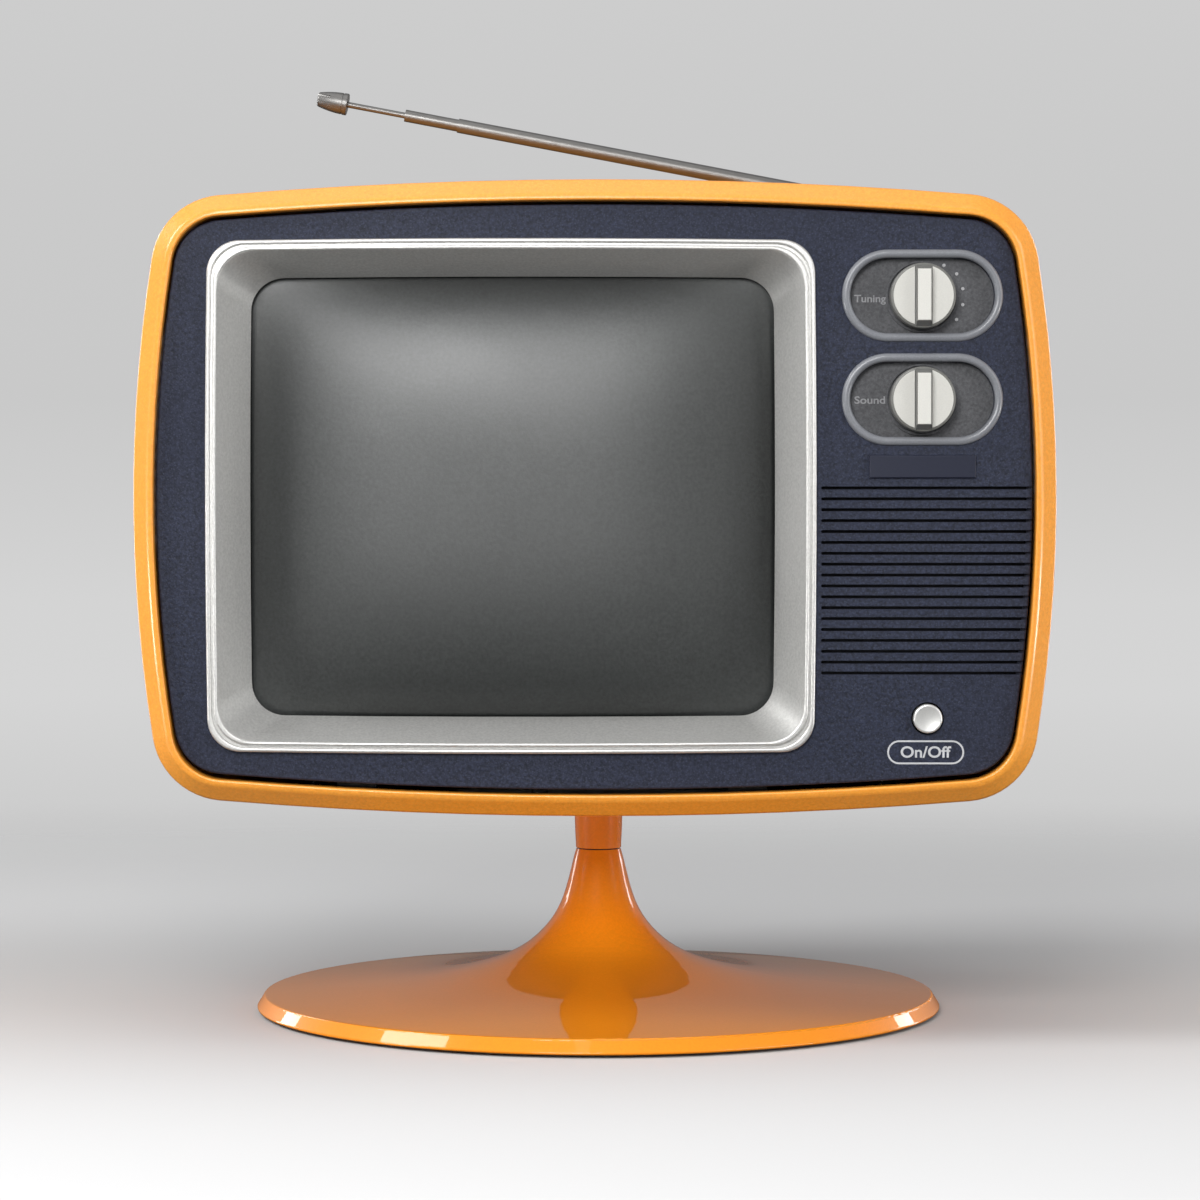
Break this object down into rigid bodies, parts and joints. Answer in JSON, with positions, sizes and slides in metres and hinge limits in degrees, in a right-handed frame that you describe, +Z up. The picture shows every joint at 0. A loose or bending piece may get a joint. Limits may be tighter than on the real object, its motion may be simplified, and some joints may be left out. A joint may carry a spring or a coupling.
{
  "type": "portable television",
  "caption": "Portable tube television in a glossy cabinet on a flared swivel pedestal, with two dials, a push button, a slotted speaker grille and a telescopic antenna.",
  "frame": {"origin": "centre of the pedestal's foot pad, on its underside", "axes": "+Z up along the pedestal's swivel axis, -Y out of the screen towards the viewer, +X to the viewer's right"},
  "size_m": [0.4302, 0.3366, 0.4613],
  "materials": {
    "orange_gloss": "high gloss moulded plastic",
    "cast_ballast": "rough cast",
    "foot_rubber": "matt",
    "zinc_steel": "zinc plated",
    "washer_nylon": "matt",
    "navy_plastic": "fine grained satin",
    "satin_silver": "satin silver plating",
    "tube_glass": "polished tinted glass",
    "tube_coating": "graphite coated glass",
    "copper_windings": "enamelled copper wire",
    "ferrite": "dark ferrite",
    "circuit_board": "resin board",
    "lead_rubber": "matt",
    "transformer_iron": "varnished laminations",
    "capacitor_sleeve": "shrink sleeve",
    "heat_sink_alloy": "black anodised",
    "transistor_case": "moulded",
    "cone_paper": "fibrous",
    "dish_grey": "satin",
    "bead_grey": "satin",
    "dot_grey": "printed",
    "cover_charcoal": "grained",
    "terminal_board": "resin board",
    "knob_grey": "satin",
    "knob_white": "satin",
    "button_silver": "satin silver",
    "antenna_chrome": "bright plated",
    "fork_dark": "satin"
  },
  "bodies": {
    "base": {"base_tulip": "orange_gloss", "ballast_disc": "cast_ballast", "foot_pad": "foot_rubber", "spindle": "zinc_steel", "spindle_nuts": "zinc_steel", "friction_washer": "washer_nylon", "thrust_washer": "zinc_steel"},
    "head": {"neck_collar": "orange_gloss", "swivel_bracket": "zinc_steel", "floor_screws": "zinc_steel", "cabinet_shell": "orange_gloss", "front_panel": "navy_plastic", "front_screws": "zinc_steel", "screen_surround": "satin_silver", "screen_gasket": "foot_rubber", "crt_faceplate": "tube_glass", "crt_funnel": "tube_coating", "implosion_band": "zinc_steel", "yoke_coils": "copper_windings", "yoke_core": "ferrite", "crt_socket_board": "circuit_board", "anode_cap": "lead_rubber", "main_board": "circuit_board", "line_transformer": "ferrite", "mains_transformer": "transformer_iron", "board_capacitors": "capacitor_sleeve", "heat_sink": "heat_sink_alloy", "power_transistors": "transistor_case", "tuner_can": "zinc_steel", "volume_pot": "zinc_steel", "speaker_frame": "zinc_steel", "speaker_cone": "cone_paper", "speaker_magnet": "ferrite", "grille_cloth": "washer_nylon", "dial_dishes": "dish_grey", "dial_beads": "bead_grey", "channel_dots": "dot_grey", "badge_plate": "navy_plastic", "power_switch": "washer_nylon", "rear_cover": "cover_charcoal", "rear_screws": "zinc_steel", "mains_inlet": "washer_nylon", "antenna_terminals": "terminal_board", "antenna_bushing": "washer_nylon"},
    "channel_knob": {"channel_knob_body": "knob_grey", "channel_knob_faces": "knob_white", "channel_shaft": "zinc_steel"},
    "volume_knob": {"volume_knob_body": "knob_grey", "volume_knob_faces": "knob_white", "volume_shaft": "zinc_steel"},
    "power_button": {"power_button": "button_silver"},
    "antenna_base": {"antenna_fork": "fork_dark", "antenna_nut": "fork_dark", "antenna_pin": "antenna_chrome"},
    "antenna_s1": {"antenna_tube_1": "antenna_chrome"},
    "antenna_s2": {"antenna_tube_2": "antenna_chrome"},
    "antenna_s3": {"antenna_tube_3": "antenna_chrome"},
    "antenna_s4": {"antenna_tube_4": "antenna_chrome"},
    "antenna_s5": {"antenna_rod": "antenna_chrome", "antenna_tip": "antenna_chrome"}
  },
  "joints": [
    {"name": "head_swivel", "type": "hinge", "parent": "base", "child": "head", "pos_m": [0, 0, 0.0794], "axis": [0, 0, 1], "range_deg": [-90, 90]},
    {"name": "channel_turn", "type": "hinge", "parent": "head", "child": "channel_knob", "pos_m": [0.1489, -0.131, 0.34195], "axis": [0, 1, 0], "range_deg": [0, 123.75]},
    {"name": "volume_turn", "type": "hinge", "parent": "head", "child": "volume_knob", "pos_m": [0.1489, -0.131, 0.295], "axis": [0, 1, 0], "range_deg": [-140, 140]},
    {"name": "power_press", "type": "slide", "parent": "head", "child": "power_button", "axis": [0, 1, 0], "range_m": [0, 0.0025]},
    {"name": "antenna_swivel", "type": "hinge", "parent": "head", "child": "antenna_base", "pos_m": [0.124, 0.065, 0.3973], "axis": [0, 0, 1], "range_deg": [-175, 175]},
    {"name": "antenna_tilt", "type": "hinge", "parent": "antenna_base", "child": "antenna_s1", "pos_m": [0.124, 0.065, 0.4063], "axis": [0, 1, 0], "range_deg": [-9, 158]},
    {"name": "section_2_slide", "type": "slide", "parent": "antenna_s1", "child": "antenna_s2", "axis": [-0.9823, 0, 0.1874], "range_m": [-0.027, 0.13]},
    {"name": "section_3_slide", "type": "slide", "parent": "antenna_s2", "child": "antenna_s3", "axis": [-0.9823, 0, 0.1874], "range_m": [0, 0.145]},
    {"name": "section_4_slide", "type": "slide", "parent": "antenna_s3", "child": "antenna_s4", "axis": [-0.9823, 0, 0.1874], "range_m": [0, 0.137]},
    {"name": "section_5_slide", "type": "slide", "parent": "antenna_s4", "child": "antenna_s5", "axis": [-0.9823, 0, 0.1874], "range_m": [-0.027, 0.104]}
  ]
}
